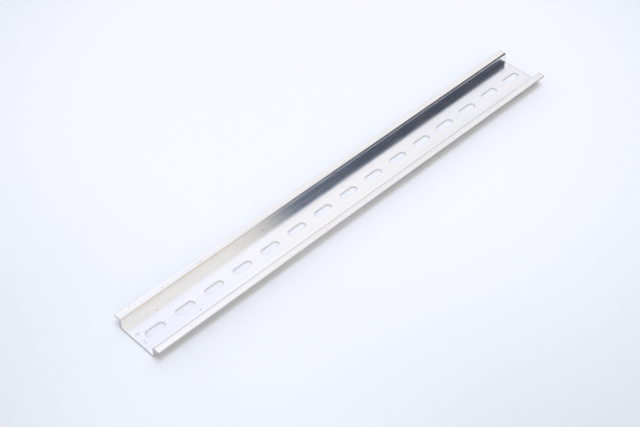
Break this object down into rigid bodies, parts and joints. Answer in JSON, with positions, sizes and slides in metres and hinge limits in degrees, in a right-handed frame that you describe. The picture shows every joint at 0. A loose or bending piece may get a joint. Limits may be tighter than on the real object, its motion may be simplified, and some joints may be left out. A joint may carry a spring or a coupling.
{
  "type": "slotted top-hat mounting rail",
  "caption": "Slotted aluminium top-hat rail: a flat web between two side walls with outward flanges that devices such as circuit breakers clip onto, fixed by screws through its slots.",
  "frame": {"origin": "middle of the rail's length and width, on the underside of the web", "axes": "+X along the rail, towards the end whose last slot is nearer the edge; +Y across it, to the left seen along +X; +Z from the web up to the open side"},
  "size_m": [0.3014, 0.035, 0.0075],
  "materials": {
    "aluminium": "mill finish with fine lengthwise drawing lines, satin to semi-bright"
  },
  "bodies": {
    "root": {"mounting_rail": "aluminium"}
  },
  "joints": []
}
